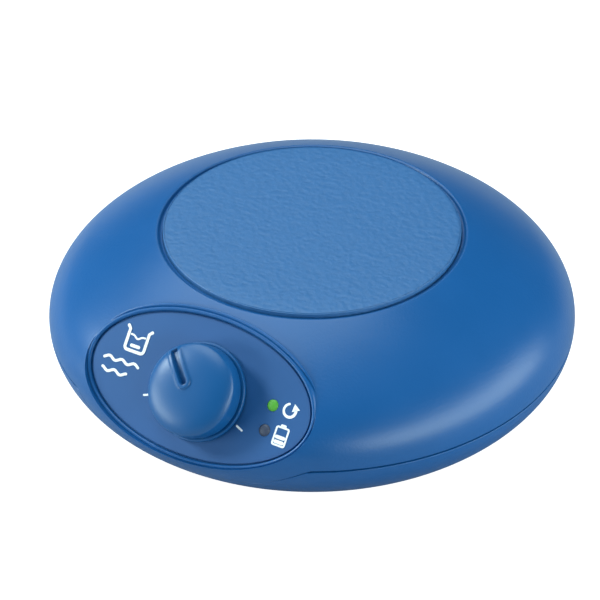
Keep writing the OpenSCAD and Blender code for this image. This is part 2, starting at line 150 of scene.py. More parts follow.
class StirrerColours(bpy.types.PropertyGroup):
    """Base colours of the finishes, scene linear."""

    housing: FloatVectorProperty(
        name="Housing", description="Moulded blue plastic of the shells", subtype="COLOR",
        size=4, default=(0.006, 0.086, 0.280, 1))
    plate: FloatVectorProperty(
        name="Plate", description="Embossed surface of the set-up plate", subtype="COLOR",
        size=4, default=(0.025, 0.122, 0.320, 1))
    film: FloatVectorProperty(
        name="Film", description="Printed film of the panel", subtype="COLOR",
        size=4, default=(0.008, 0.080, 0.262, 1))
    knob: FloatVectorProperty(
        name="Knob", description="Moulded plastic of the knob", subtype="COLOR",
        size=4, default=(0.003, 0.080, 0.255, 1))
    ink: FloatVectorProperty(
        name="Ink", description="White print on the film", subtype="COLOR",
        size=4, default=(0.90, 0.93, 0.97, 1))
    run_light: FloatVectorProperty(
        name="Run Light", description="Lens of the lit indicator", subtype="COLOR",
        size=4, default=(0.075, 0.34, 0.03, 1))
    dark_light: FloatVectorProperty(
        name="Dark Light", description="Lens of the unlit indicator", subtype="COLOR",
        size=4, default=(0.045, 0.060, 0.11, 1))
    rubber: FloatVectorProperty(
        name="Rubber", description="Rubber of the feet", subtype="COLOR",
        size=4, default=(0.018, 0.018, 0.020, 1))


def shape():
    return bpy.context.scene.stirrer_shape


def colours():
    return bpy.context.scene.stirrer_colours


# ---------------------------------------------------------------- meshes


def smooth_step(x, low, high):
    t = np.clip((x - low) / (high - low), 0, 1)
    return t * t * (3 - 2 * t)


def soft_max(a, b, width):
    """The larger of two heights, with the corner between them rounded over width."""
    h = np.clip(0.5 + 0.5 * (a - b) / width, 0, 1)
    return b + (a - b) * h + width * h * (1 - h)


def soft_min(a, b, width):
    return -soft_max(-a, -b, width)


class Skin:
    """Points and faces of one piece, made loop by loop."""

    def __init__(self):
        self.points = []
        self.faces = []

    def loop(self, points):
        start = len(self.points)
        self.points.extend(tuple(float(c) for c in p) for p in points)
        return list(range(start, len(self.points)))

    def bridge(self, a, b, closed=True):
        n = len(a)
        for i in range(n if closed else n - 1):
            j = (i + 1) % n
            self.faces.append((a[i], a[j], b[j], b[i]))

    def stack(self, loops, closed=True):
        """Joins a list of loops one after the other and gives back the last one."""
        for a, b in zip(loops, loops[1:]):
            self.bridge(a, b, closed)
        return loops[-1]

    def close(self, ring, centre):
        """Closes a loop with a fan to one point."""
        c = self.loop([centre])[0]
        n = len(ring)
        self.faces.extend((ring[i], ring[(i + 1) % n], c) for i in range(n))

    def fill(self, flat, border, holes=(), loose=()):
        """Fills the region between a border loop and its holes with triangles.

        flat maps a point's number to its place in a flat map of the surface.
        """
        numbers = list(border) + [i for h in holes for i in h] + list(loose)
        place = {n: k for k, n in enumerate(numbers)}
        edges = []
        for ring in [border, *holes]:
            edges += [(place[a], place[b]) for a, b in zip(ring, ring[1:] + ring[:1])]
        coords = [Vector(flat[n]) for n in numbers]
        out, _, tris, origin, _, _ = delaunay_2d_cdt(coords, edges, [], 1, 1e-9)
        middles = np.array([[sum(out[v][k] for v in t) / len(t) for k in (0, 1)] for t in tris])
        keep = inside(middles, np.array([flat[n] for n in border]))
        for ring in holes:
            keep &= ~inside(middles, np.array([flat[n] for n in ring]))
        for wanted, tri in zip(keep, tris):
            if wanted:
                if any(not origin[v] for v in tri):
                    raise RuntimeError("a filled region has crossing borders")
                self.faces.append(tuple(numbers[origin[v][0]] for v in tri))

    def piece(self, name, material, body, slot, *stands_for):
        """Makes the Blender object, puts it on its body and hides the frame parts it stands for."""
        mesh = bpy.data.meshes.new(name)
        mesh.from_pydata(self.points, [], self.faces)
        work = bmesh.new()
        work.from_mesh(mesh)
        bmesh.ops.delete(work, geom=[v for v in work.verts if not v.link_faces], context="VERTS")
        bmesh.ops.recalc_face_normals(work, faces=work.faces)
        work.to_mesh(mesh)
        work.free()
        mesh.shade_smooth()
        mesh.set_sharp_from_angle(angle=math.radians(48))
        thing = bpy.data.objects.new(name, mesh)
        bpy.context.scene.collection.objects.link(thing)
        mesh.materials.append(material)
        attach(thing, body)
        if stands_for:
            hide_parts(*stands_for)
        level = thing.modifiers.new("Weighted Normals", "WEIGHTED_NORMAL")
        level.keep_sharp = True
        return thing


def inside(points, ring):
    """Which flat points lie inside a closed ring, by counting crossings."""
    found = np.zeros(len(points), bool)
    x, y = points[:, 0], points[:, 1]
    for (x0, y0), (x1, y1) in zip(ring, np.roll(ring, -1, axis=0)):
        if y0 != y1:
            found ^= ((y0 > y) != (y1 > y)) & (x < (x1 - x0) * (y - y0) / (y1 - y0) + x0)
    return found


def nearest(points, ring):
    """Distance from each flat point to the closest of a ring's points."""
    return np.min(np.hypot(*(points[:, None, :] - ring[None, :, :]).transpose(2, 0, 1)), axis=1)


def circle_turns(count):
    return np.arange(count) * 2 * math.pi / count


def circle(radius, z, count, centre=(0, 0)):
    """A level circle as a loop of points."""
    turn = circle_turns(count)
    return np.stack([centre[0] + radius * np.cos(turn), centre[1] + radius * np.sin(turn),
                     np.full(count, z)], axis=1)


def rounded_box(x0, y0, x1, y1, radius, z, steps=6):
    """Corner-rounded rectangle as a loop of points at height z."""
    out = []
    corners = [(x1 - radius, y1 - radius, 0), (x0 + radius, y1 - radius, 90),
               (x0 + radius, y0 + radius, 180), (x1 - radius, y0 + radius, 270)]
    for cx, cy, first in corners:
        for k in range(steps + 1):
            a = math.radians(first + 90 * k / steps)
            out.append((cx + radius * math.cos(a), cy + radius * math.sin(a), z))
    return np.array(out)


# ---------------------------------------------------------------- the housing's form


class Housing:
    """The round body: a side ellipse, a crown arc tangent to it, and the tilted panel's plane."""

    UNDER_FILLET = 3 * MM
    HIT_REACH = 14 * MM  # how far in and out of a base point its surface is looked for

    def __init__(self):
        s = shape()
        self.radius, self.rise, self.equator = s.body_radius, s.body_rise, s.equator
        shoulder = math.acos(s.shoulder_radius / self.radius)
        slope = math.atan2(math.cos(shoulder) / self.radius, math.sin(shoulder) / self.rise)
        self.arc_x = s.shoulder_radius - s.crown_radius * math.sin(slope)
        self.arc_z = self.equator + self.rise * math.sin(shoulder) - s.crown_radius * math.cos(slope)
        lip = math.asin((s.lip_radius - self.arc_x) / s.crown_radius)
        low = self._fillet_start(s)
        t = np.linspace(low, shoulder, 600)
        a = np.linspace(slope, lip, 200)[1:]
        side_n = np.stack([np.cos(t) / self.radius, np.sin(t) / self.rise], axis=1)
        side_n /= np.linalg.norm(side_n, axis=1)[:, None]
        crown_n = np.stack([np.sin(a), np.cos(a)], axis=1)
        side = np.stack([self.radius * np.cos(t), self.equator + self.rise * np.sin(t)], axis=1)
        crown = np.array([self.arc_x, self.arc_z]) + s.crown_radius * crown_n
        # The rounded corner between the side and the flat underside
        centre = side[0] - self.UNDER_FILLET * side_n[0]
        start = math.atan2(side_n[0][1], side_n[0][0])
        turn = np.linspace(-math.pi / 2, start, 40)[:-1]
        under_n = np.stack([np.cos(turn), np.sin(turn)], axis=1)
        under = centre + self.UNDER_FILLET * under_n
        self.points = np.concatenate([under, side, crown])
        self.normals = np.concatenate([under_n, side_n, crown_n])
        step = np.linalg.norm(np.diff(self.points, axis=0), axis=1)
        self.length = np.concatenate([[0], np.cumsum(step)])
        self.end = self.length[-1]
        rel = self.points - [0, self.equator]
        self.polar = np.arctan2(rel[:, 1], rel[:, 0])
        self.reach = np.hypot(rel[:, 0], rel[:, 1])
        self.lip_angle = lip
        tilt = s.panel_tilt
        self.centre = np.array([0, -s.panel_front, s.panel_height])
        self.across = np.array([1.0, 0, 0])
        self.up = np.array([0, math.cos(tilt), math.sin(tilt)])
        self.out = np.array([0, -math.sin(tilt), math.cos(tilt)])

    def _fillet_start(self, s):
        """Where on the ellipse the underside's fillet begins, by halving."""
        low, high = -math.pi / 2, 0.0
        for _ in range(60):
            t = (low + high) / 2
            n = np.array([math.cos(t) / s.body_radius, math.sin(t) / s.body_rise])
            n /= np.linalg.norm(n)
            z = s.equator + s.body_rise * math.sin(t) - self.UNDER_FILLET * n[1]
            if z > s.underside + self.UNDER_FILLET:
                high = t
            else:
                low = t
        return high

    def section(self, length, inset=0.0):
        """Radius and height at a distance along the outline, moved inwards by inset."""
        length = np.asarray(length, float)
        p = [np.interp(length, self.length, self.points[:, k]) for k in (0, 1)]
        n = [np.interp(length, self.length, self.normals[:, k]) for k in (0, 1)]
        return p[0] - inset * n[0], p[1] - inset * n[1]

    def point(self, turn, length, inset=0.0):
        """Points on the body; turn is 0 at the front and grows towards +X."""
        r, z = self.section(length, inset)
        turn = np.asarray(turn, float)
        return np.stack(np.broadcast_arrays(r * np.sin(turn), -r * np.cos(turn), z), axis=-1)

    def length_at_height(self, z):
        """Distance along the side for a height below the crown."""
        return np.interp(z, self.points[:, 1], self.length)

    def locate(self, points):
        """Turn and distance along the outline of points that lie on the body."""
        r = np.hypot(points[..., 0], points[..., 1])
        polar = np.arctan2(points[..., 2] - self.equator, r)
        return np.arctan2(points[..., 0], -points[..., 1]), np.interp(polar, self.polar, self.length)

    def outside(self, points):
        """How far outside the body points lie; negative inside."""
        r = np.hypot(points[..., 0], points[..., 1])
        polar = np.arctan2(points[..., 2] - self.equator, r)
        return np.hypot(r, points[..., 2] - self.equator) - np.interp(polar, self.polar, self.reach)

    def hit(self, base, way):
        """Distance from base along way to the body's surface, by halving."""
        low = np.full(base.shape[:-1], -self.HIT_REACH)
        high = np.full(base.shape[:-1], self.HIT_REACH)
        for _ in range(48):
            middle = (low + high) / 2
            out = self.outside(base + middle[..., None] * way) > 0
            high = np.where(out, middle, high)
            low = np.where(out, low, middle)
        return (low + high) / 2

    def on_panel(self, u, v, h):
        u, v, h = np.broadcast_arrays(u, v, h)
        return (self.centre + u[..., None] * self.across + v[..., None] * self.up
                + h[..., None] * self.out)

    def seam_height(self, turn):
        """Height of the upper shell's edge, which dips into the chin under the panel."""
        s = shape()
        z = np.full(np.shape(turn), s.seam)
        for _ in range(40):
            r = self.radius * np.sqrt(1 - ((z - self.equator) / self.rise) ** 2)
            x = np.abs(r * np.sin(turn)) / s.chin_half_width
            dip = np.where(np.cos(turn) > 0, np.clip(1 - x ** 2, 0, 1), 0) ** 1.15
            z = s.seam - s.chin_depth * dip
        return z

    def oval(self, offset, turns):
        """Points of the film's outline moved outwards by offset, in the panel's plane."""
        s = shape()
        a, b = s.film_half_length, s.film_half_height
        n = np.stack([np.cos(turns) / a, np.sin(turns) / b], axis=-1)
        n /= np.linalg.norm(n, axis=-1)[..., None]
        return a * np.cos(turns) + offset * n[..., 0], b * np.sin(turns) + offset * n[..., 1]


def around_edge(radius, steps=4):
    """Quarter round: pairs of (along, inwards) from the outer face to the edge face."""
    for k in range(steps + 1):
        a = math.pi / 2 * k / steps
        yield radius * (1 - math.sin(a)), radius * (1 - math.cos(a))


# ---------------------------------------------------------------- shells


def column_turns():
    return circle_turns(shape().columns)


def signed(turn):
    return (turn + math.pi) % (2 * math.pi) - math.pi


def panel_rings(body, turns):
    """The bead around the film and its blend into the body, ring by ring outwards."""
    seat = FILM_DEPTH + 0.05 * MM
    side, bulge = 0.37, 0.55
    profile = [(-2.0, -seat), (0.26, -seat), (0.34, 0.04 * MM - seat), (side, 0.14 * MM - seat)]
    for a in np.linspace(0, math.pi / 2, 9):
        profile.append((side + bulge * (1 - math.cos(a)), (bulge * math.sin(a) - 0.05) * MM))
    out = []
    for d, h in profile:
        u, v = body.oval(d * MM, turns)
        out.append(body.on_panel(u, v, np.full_like(u, h)))
    focus = body.centre - 30 * MM * body.out
    upper = smooth_step(np.sin(turns), 0.0, 0.95)
    crest, reach = 2.0 * MM, 0.75 * MM  # the second ridge's middle and half width
    bead_end, bead_fall = 1.05 * MM, 0.72 * MM  # where the bead's top ends, and how wide it falls
    for d in np.arange(1.0, 3.66, 0.085) * MM:
        u, v = body.oval(d, turns)
        base = body.on_panel(u, v, np.zeros_like(u))
        # Leave along the panel's normal, and arrive square to the body
        swing = smooth_step(d, 1.7 * MM, 3.2 * MM)
        central = (base - focus) / np.linalg.norm(base - focus, axis=-1)[..., None]
        way = (1 - swing) * body.out + swing * central
        way /= np.linalg.norm(way, axis=-1)[..., None]
        dome = body.hit(base, way)
        fall = max(0.0, (d - bead_end) / bead_fall)
        bead = BEAD_CREST - 2.6 * MM * round_drop(fall) - 4 * MM * max(0.0, fall - 1)
        shelf = (1.35 + 1.15 * upper) * MM
        level = 0.26 * MM + 6 * MM * smooth_step(d, shelf, shelf + 1.0 * MM)
        cut = soft_min(dome, level, 0.25 * MM)
        aside = abs(d - crest)
        ridge = 0.42 * MM - 1.5 * MM * round_drop(aside / reach) - 4 * max(0.0, aside - reach)
        second = -1.5 * MM + (ridge + 1.5 * MM) * upper
        high = soft_max(np.full_like(dome, bead), soft_max(second, cut, 0.1 * MM), 0.08 * MM)
        high = np.where(d > 3.5 * MM, dome, high)
        out.append(base + high[..., None] * way)
    return out


def round_drop(part):
    """Depth of a unit circle's top below its crest, at a part of its radius."""
    return 1 - math.sqrt(1 - min(part, 1.0) ** 2)


def top_shell_skin(body):
    s = shape()
    skin = Skin()
    turns = column_turns()
    n = len(turns)
    edge = body.length_at_height(body.seam_height(turns))
    level = edge[n // 2]
    rows = np.linspace(level + EDGE_ROUND, body.end, 56)
    front = np.abs(signed(turns)) <= FRONT_TURN + 1e-6
    first = int(np.sum(front)) // 2
    order = [(k - first) % n for k in range(2 * first + 1)]

    # Rows of points around the body; the front columns use only the first and last row.
    grid = []
    for j, length in enumerate(rows):
        at = edge + EDGE_ROUND if j == 0 else np.full(n, length)
        grid.append(skin.loop(body.point(turns, at)))
    for j in range(len(rows) - 1):
        for k in range(first, n - first):
            a, b = k, (k + 1) % n
            skin.faces.append((grid[j][a], grid[j][b], grid[j + 1][b], grid[j + 1][a]))

    # The panel's bead, then the front of the body between it and the regular rows
    around = circle_turns(OVAL_POINTS)
    bead = [skin.loop(ring) for ring in panel_rings(body, around)]
    skin.stack(bead)
    skin.close(bead[0], body.on_panel(0, 0, -FILM_DEPTH - 0.05 * MM))
    scale = s.body_radius * 0.9
    flat = {}

    def note(numbers, turn, length):
        spots = np.broadcast_arrays(np.zeros(len(numbers)), signed(turn) * scale, length)
        flat.update(zip(numbers, zip(*spots[1:])))

    hole_turn, hole_length = body.locate(np.array([skin.points[k] for k in bead[-1]]))
    note(bead[-1], hole_turn, hole_length)
    low = [grid[0][k] for k in order]
    high = [grid[-1][k] for k in order]
    left = [grid[j][order[0]] for j in range(1, len(rows) - 1)]
    right = [grid[j][order[-1]] for j in range(1, len(rows) - 1)]
    note(low, turns[order], edge[order] + EDGE_ROUND)
    note(high, turns[order], rows[-1])
    note(left, turns[order[0]], rows[1:-1])
    note(right, turns[order[-1]], rows[1:-1])
    border = low + right + high[::-1] + left[::-1]
    spacing = rows[1] - rows[0]
    below = np.arange(rows[0] - spacing, edge.min(), -spacing)[::-1]
    hole = np.array([flat[k] for k in bead[-1]])
    loose = []
    for length in np.concatenate([below, rows[:-1]]):
        inner = order[1:-1]
        spots = np.stack([signed(turns[inner]) * scale, np.full(len(inner), length)], axis=1)
        free = (length > edge[inner] + EDGE_ROUND + 0.5 * MM) & ~inside(spots, hole)
        free &= nearest(spots, hole) > 0.55 * MM
        chosen = [k for k, ok in zip(inner, free) if ok]
        made = skin.loop(body.point(turns[chosen], length))
        note(made, turns[chosen], length)
        loose += made
    skin.fill(flat, border, [bead[-1]], loose)

    # Lip, the groove's slanted outer side, its floor, and the recess under the plate
    floor = PLATE_BOX[0].z - 0.02 * MM
    centre_r = body.arc_x + (s.crown_radius - LIP_ROUND) * math.sin(body.lip_angle)
    centre_z = body.arc_z + (s.crown_radius - LIP_ROUND) * math.cos(body.lip_angle)
    loops = [grid[-1]]
    for k in range(1, 11):
        a = body.lip_angle - (body.lip_angle + GROOVE_SLANT) * k / 10
        spot = centre_r + LIP_ROUND * math.sin(a), centre_z + LIP_ROUND * math.cos(a)
        loops.append(skin.loop(body_ring(turns, *spot)))
    groove = PLATE_BOX[1].z - GROOVE_DEPTH
    foot = spot[0] - (spot[1] - groove) / math.tan(GROOVE_SLANT)
    plate = PLATE_BOX[1].x
    gap, corner = 0.12 * MM, 0.1 * MM
    for r, z in ((foot + gap, groove + corner), (foot - corner, groove), (plate + 0.2 * MM, groove),
                 (plate + gap, groove - corner), (plate + gap, floor), (0.5 * plate, floor)):
        loops.append(skin.loop(body_ring(turns, r, z)))
    skin.close(skin.stack(loops), (0, 0, floor))

    # Rounded lower edge, lap for the lower shell's tongue, and the inner wall
    loops = [grid[0]]
    for along, inward in list(around_edge(EDGE_ROUND))[1:]:
        loops.append(skin.loop(body.point(turns, edge + along, inward)))
    shoulder = edge + LAP + 0.3 * MM
    loops.append(skin.loop(body.point(turns, edge, LAP_INSET)))
    loops.append(skin.loop(body.point(turns, shoulder, LAP_INSET)))
    top = PLATE_BOX[0].z - 2 * MM
    for part in np.linspace(0, 1, 41)[1:]:
        length = shoulder + (body.end - shoulder) * part
        points = body.point(turns, length, s.wall)
        points[:, 2] = np.minimum(points[:, 2], top)
        over = (points - body.centre) @ body.out + s.wall
        points -= np.clip(over, 0, None)[:, None] * body.out
        loops.append(skin.loop(points))
    loops.append(skin.loop(body_ring(turns, 20 * MM, top)))
    skin.close(skin.stack(loops), (0, 0, top))
    return skin


def body_ring(turns, r, z):
    return np.stack([r * np.sin(turns), -r * np.cos(turns), np.full(len(turns), z)], axis=1)


def bottom_shell_skin(body):
    s = shape()
    skin = Skin()
    turns = column_turns()
    n = len(turns)
    upper = body.length_at_height(body.seam_height(turns))
    gap = np.where(np.abs(signed(turns)) < CHIN_TURN, CHIN_GAP, s.seam_gap)
    edge = upper - gap
    count = 24
    part = np.linspace(1, 0, count)
    grid = []
    for f in part:
        grid.append(skin.loop(body.point(turns, (edge - EDGE_ROUND) * f)))
    back = n // 2
    reach = int(round(BACK_TURN / (2 * math.pi) * n))
    order = list(range(back - reach, back + reach + 1))
    for j in range(count - 1):
        for k in range(n):
            if not back - reach <= k < back + reach:
                b = (k + 1) % n
                skin.faces.append((grid[j][k], grid[j][b], grid[j + 1][b], grid[j + 1][k]))

    # Rounded hole for the charging plug, sunk to a flat face
    axis_z, wide, bore, boss_r = 12 * MM, 5.0 * MM, 3.9 * MM, 5.7 * MM
    face_y, inner_y, boss_y = 66.8 * MM, 63 * MM, 64.5 * MM
    sides = 96
    hole_loops = []

    def on_back(radius, inset):
        x, z = radius * np.cos(circle_turns(sides)), axis_z + radius * np.sin(circle_turns(sides))
        r = body.radius * np.sqrt(1 - ((z - body.equator) / body.rise) ** 2)
        return np.stack([x, np.sqrt(r ** 2 - x ** 2) - inset, z], axis=1)

    def flat_ring(radius, y):
        ring = on_back(radius, 0)
        ring[:, 1] = y
        return ring

    for along, inward in around_edge(EDGE_ROUND):
        hole_loops.append(skin.loop(on_back(wide + along, inward)))
    hole_loops.append(skin.loop(flat_ring(wide, face_y)))
    for along, inward in around_edge(EDGE_ROUND):
        hole_loops.append(skin.loop(flat_ring(bore + along, face_y - inward)))
    hole_loops.append(skin.loop(flat_ring(bore, inner_y)))
    hole_loops.append(skin.loop(flat_ring(boss_r, inner_y)))
    skin.stack(hole_loops)
    flat = {}
    scale = body.radius
    ring = np.array([skin.points[k] for k in hole_loops[0]])
    hole_turn, hole_length = body.locate(ring)
    for k, t, l in zip(hole_loops[0], hole_turn, hole_length):
        flat[k] = ((t % (2 * math.pi)) * scale, l)
    for j in range(count):
        for k in order:
            flat[grid[j][k]] = (turns[k] * scale, (edge[k] - EDGE_ROUND) * part[j])
    border = [grid[-1][k] for k in order] + [grid[j][order[-1]] for j in range(count - 2, 0, -1)]
    border += [grid[0][k] for k in order[::-1]] + [grid[j][order[0]] for j in range(1, count - 1)]
    hole = np.array([flat[k] for k in hole_loops[0]])
    spots = [grid[j][k] for j in range(1, count - 1) for k in order[1:-1]]
    places = np.array([flat[k] for k in spots])
    free = ~inside(places, hole) & (nearest(places, hole) > 0.6 * MM)
    skin.fill(flat, border, [hole_loops[0]], [k for k, ok in zip(spots, free) if ok])

    # Flat underside with the hatch opening, feet recesses and screw holes
    under = s.underside
    floor = under + s.wall
    flat = {k: skin.points[k][:2] for k in grid[-1]}
    holes = []

    def flat_loop(points):
        made = skin.loop(points)
        flat.update({k: skin.points[k][:2] for k in made})
        return made

    def pocket(x, y, radius, depth, edge_round=CUT_ROUND):
        """A round blind recess in the underside."""
        loops = []
        for along, inward in around_edge(edge_round):
            points = circle(radius + along, under + inward, 48, (x, y))
            loops.append(flat_loop(points) if not loops else skin.loop(points))
        loops.append(skin.loop(circle(radius, under + depth, 48, (x, y))))
        skin.close(skin.stack(loops), (x, y, under + depth))
        holes.append(loops[0])

    for x, y in foot_spots():
        pocket(x, y, FOOT_RADIUS + 0.12 * MM, 1.0 * MM)
    for x, y in SCREW_SPOTS:
        pocket(x, y, 3.2 * MM, 6.2 * MM, 0.35 * MM)
    notch_half, notch, notch_z = 8 * MM, 3 * MM, under + 1 * MM
    x1, y0, y1 = HATCH_BOX[1].x + 0.3 * MM, -27.7 * MM, 26.5 * MM
    bay_x, bay_y, bay_top, bay_wall = 30.5 * MM, 27.8 * MM, 19 * MM, 1.6 * MM
    loops = []
    for along, inward in around_edge(CUT_ROUND):
        points = hatch_outline(x1 + along, y0 - along, y1 + along, notch_half + along, notch, under + inward)
        loops.append(flat_loop(points) if not loops else skin.loop(points))
    holes.append(loops[0])
    mouth, bay = (x1, y0, y1), (bay_x, -bay_y, bay_y)
    outer = (bay_x + bay_wall, -bay_y - bay_wall, bay_y + bay_wall)
    for span, deep, z in ((mouth, notch, notch_z), (mouth, 0, notch_z), (mouth, 0, floor), (bay, 0, floor),
                          (bay, 0, bay_top), (outer, 0, bay_top), (outer, 0, floor)):
        loops.append(skin.loop(hatch_outline(*span, notch_half, deep, z)))
    bay_foot = skin.stack(loops)
    skin.fill(flat, grid[-1], holes)

    # Rounded upper edge, tongue, and the inner wall down to the floor
    loops = [grid[0]]
    for along, inward in list(around_edge(EDGE_ROUND))[1:]:
        loops.append(skin.loop(body.point(turns, edge - along, inward)))
    loops.append(skin.loop(body.point(turns, edge, LAP_INSET + 0.1 * MM)))
    loops.append(skin.loop(body.point(turns, edge + LAP, LAP_INSET + 0.1 * MM)))
    loops.append(skin.loop(body.point(turns, edge + LAP, s.wall - 0.05 * MM)))
    for f in np.linspace(1, 0, 16):
        points = body.point(turns, edge * f, s.wall)
        points[:, 2] = np.maximum(points[:, 2], floor)
        loops.append(skin.loop(points))
    inner_foot = skin.stack(loops)
    flat = {k: skin.points[k][:2] for k in inner_foot + bay_foot}
    holes = [bay_foot]
    post_r, post_top = 4.4 * MM, s.seam - s.seam_gap
    for x, y in SCREW_SPOTS:
        base = skin.loop(circle(post_r, floor, 48, (x, y)))
        flat.update({k: skin.points[k][:2] for k in base})
        holes.append(base)
        rim = skin.loop(circle(post_r, post_top, 48, (x, y)))
        skin.bridge(base, rim)
        skin.close(rim, (x, y, post_top))
    skin.fill(flat, inner_foot, holes)

    # Close the charging hole's boss against the inner wall
    boss = skin.loop(flat_ring(boss_r, boss_y))
    skin.bridge(hole_loops[-1], boss)
    skin.close(boss, (0, boss_y, axis_z))
    return skin


def hatch_outline(x1, y0, y1, notch_half, notch, z):
    """The hatch opening as a loop, with a shallow finger notch in its +Y side."""
    corner, bevel, steps = 1.2 * MM, 0.6 * MM, 6
    ring = rounded_box(-x1, y0, x1, y1, corner, z, steps)
    half = [(notch_half, 0), (notch_half, max(notch - bevel, 0)), (notch_half - bevel, notch)]
    extra = half + [(-x, rise) for x, rise in half[::-1]]
    extra = np.array([(x, y1 + rise, z) for x, rise in extra])
    return np.concatenate([ring[:steps + 1], extra, ring[steps + 1:]])


def foot_spots():
    reach = FOOT_BOX[1].x - FOOT_RADIUS
    return [(x, y) for x in (-reach, reach) for y in (-reach, reach)]


# ---------------------------------------------------------------- materials


def node_group(name, inputs, outputs):
    """An empty shader group with its named sockets."""
    group = bpy.data.node_groups.new(name, "ShaderNodeTree")
    for label, kind, value in inputs:
        made = group.interface.new_socket(label, in_out="INPUT", socket_type=kind)
        made.default_value = value
    for label, kind in outputs:
        group.interface.new_socket(label, in_out="OUTPUT", socket_type=kind)
    return group, group.nodes.new("NodeGroupInput"), group.nodes.new("NodeGroupOutput")


def add(tree, kind, **values):
    """A node with some of its properties set."""
    made = tree.nodes.new(kind)
    for key, value in values.items():
        setattr(made, key, value)
    return made


def texture(group, kind, vector, scale, label, value, **properties):
    """A texture node fed by a vector and a scale, with one more input set."""
    made = add(group, kind, **properties)
    made.inputs[label].default_value = value
    group.links.new(vector, made.inputs["Vector"])
    group.links.new(scale, made.inputs["Scale"])
    return made


def grain_group():
    """Fine moulded grain: a height, and a slow mottling of the gloss."""
    group, given, out = node_group(
        "Moulded Grain",
        [("Cell Size", "NodeSocketFloat", 1400.0), ("Mottle Size", "NodeSocketFloat", 60.0)],
        [("Height", "NodeSocketFloat"), ("Mottle", "NodeSocketFloat")])
    place = add(group, "ShaderNodeTexCoord").outputs["Object"]
    cell = given.outputs["Cell Size"]
    pits = texture(group, "ShaderNodeTexVoronoi", place, cell, "Smoothness", 0.8, feature="SMOOTH_F1")
    rough = texture(group, "ShaderNodeTexNoise", place, cell, "Detail", 3)
    slow = texture(group, "ShaderNodeTexNoise", place, given.outputs["Mottle Size"], "Detail", 2)
    weigh(group, 0.6, pits.outputs["Distance"], rough.outputs["Fac"], out.inputs["Height"])
    group.links.new(slow.outputs["Fac"], out.inputs["Mottle"])
    return group


def leather_group():
    """Embossed leather-like grain: soft pebbles broken up by creases."""
    group, given, out = node_group(
        "Embossed Grain",
        [("Pebble Size", "NodeSocketFloat", 900.0), ("Crease Size", "NodeSocketFloat", 350.0)],
        [("Height", "NodeSocketFloat"), ("Shade", "NodeSocketFloat")])
    place = add(group, "ShaderNodeTexCoord").outputs["Object"]
    cell = given.outputs["Pebble Size"]
    warp = texture(group, "ShaderNodeTexNoise", place, given.outputs["Crease Size"], "Detail", 2)
    bend = add(group, "ShaderNodeVectorMath", operation="MULTIPLY_ADD")
    bend.inputs[1].default_value = [1.6 * MM] * 3
    group.links.new(warp.outputs["Color"], bend.inputs[0])
    group.links.new(place, bend.inputs[2])
    pebbles = texture(group, "ShaderNodeTexVoronoi", bend.outputs[0], cell, "Smoothness", 0.6,
                      feature="SMOOTH_F1")
    creases = texture(group, "ShaderNodeTexNoise", place, cell, "Detail", 4)
    weigh(group, 0.9, pebbles.outputs["Distance"], creases.outputs["Fac"], out.inputs["Height"])
    group.links.new(creases.outputs["Fac"], out.inputs["Shade"])
    return group


def weigh(group, weight, value, added, target):
    """Feeds target with value times weight plus added."""
    made = add(group, "ShaderNodeMath", operation="MULTIPLY_ADD")
    made.inputs[1].default_value = weight
    for source, socket in ((value, made.inputs[0]), (added, made.inputs[2]), (made.outputs[0], target)):
        group.links.new(source, socket)


def finish(name, colour, rough, grain, cell, depth, tint=0.06, swing=0.06, **sockets):
    """A Principled material whose colour, gloss and surface follow a grain group.

    cell is the grain's scale and depth its height; tint and swing are how far colour and
    roughness wander, and sockets are further inputs of the shader.
    """
    made = bpy.data.materials.new(name)
    made.use_nodes = True
    tree = made.node_tree
    shader = tree.nodes["Principled BSDF"]
    for key, value in sockets.items():
        shader.inputs[key.replace("_", " ")].default_value = value
    pattern = add(tree, "ShaderNodeGroup", node_tree=grain)
    pattern.inputs[0].default_value = cell
    height, mask = pattern.outputs[0], pattern.outputs[1]
    dark = tuple(c * (1 - tint) for c in colour[:3]) + (1,)
    light = tuple(min(1, c * (1 + tint)) for c in colour[:3]) + (1,)
    shade = add(tree, "ShaderNodeMix", data_type="RGBA")
    shade.inputs[6].default_value = dark
    shade.inputs[7].default_value = light
    gloss = add(tree, "ShaderNodeMapRange")
    gloss.inputs["To Min"].default_value = rough - swing
    gloss.inputs["To Max"].default_value = rough + swing
    bump = add(tree, "ShaderNodeBump")
    bump.inputs["Distance"].default_value = depth
    link = tree.links.new
    link(mask, shade.inputs[0])
    link(mask, gloss.inputs["Value"])
    link(shade.outputs[2], shader.inputs["Base Color"])
    link(gloss.outputs["Result"], shader.inputs["Roughness"])
    link(height, bump.inputs["Height"])
    link(bump.outputs["Normal"], shader.inputs["Normal"])
    return made


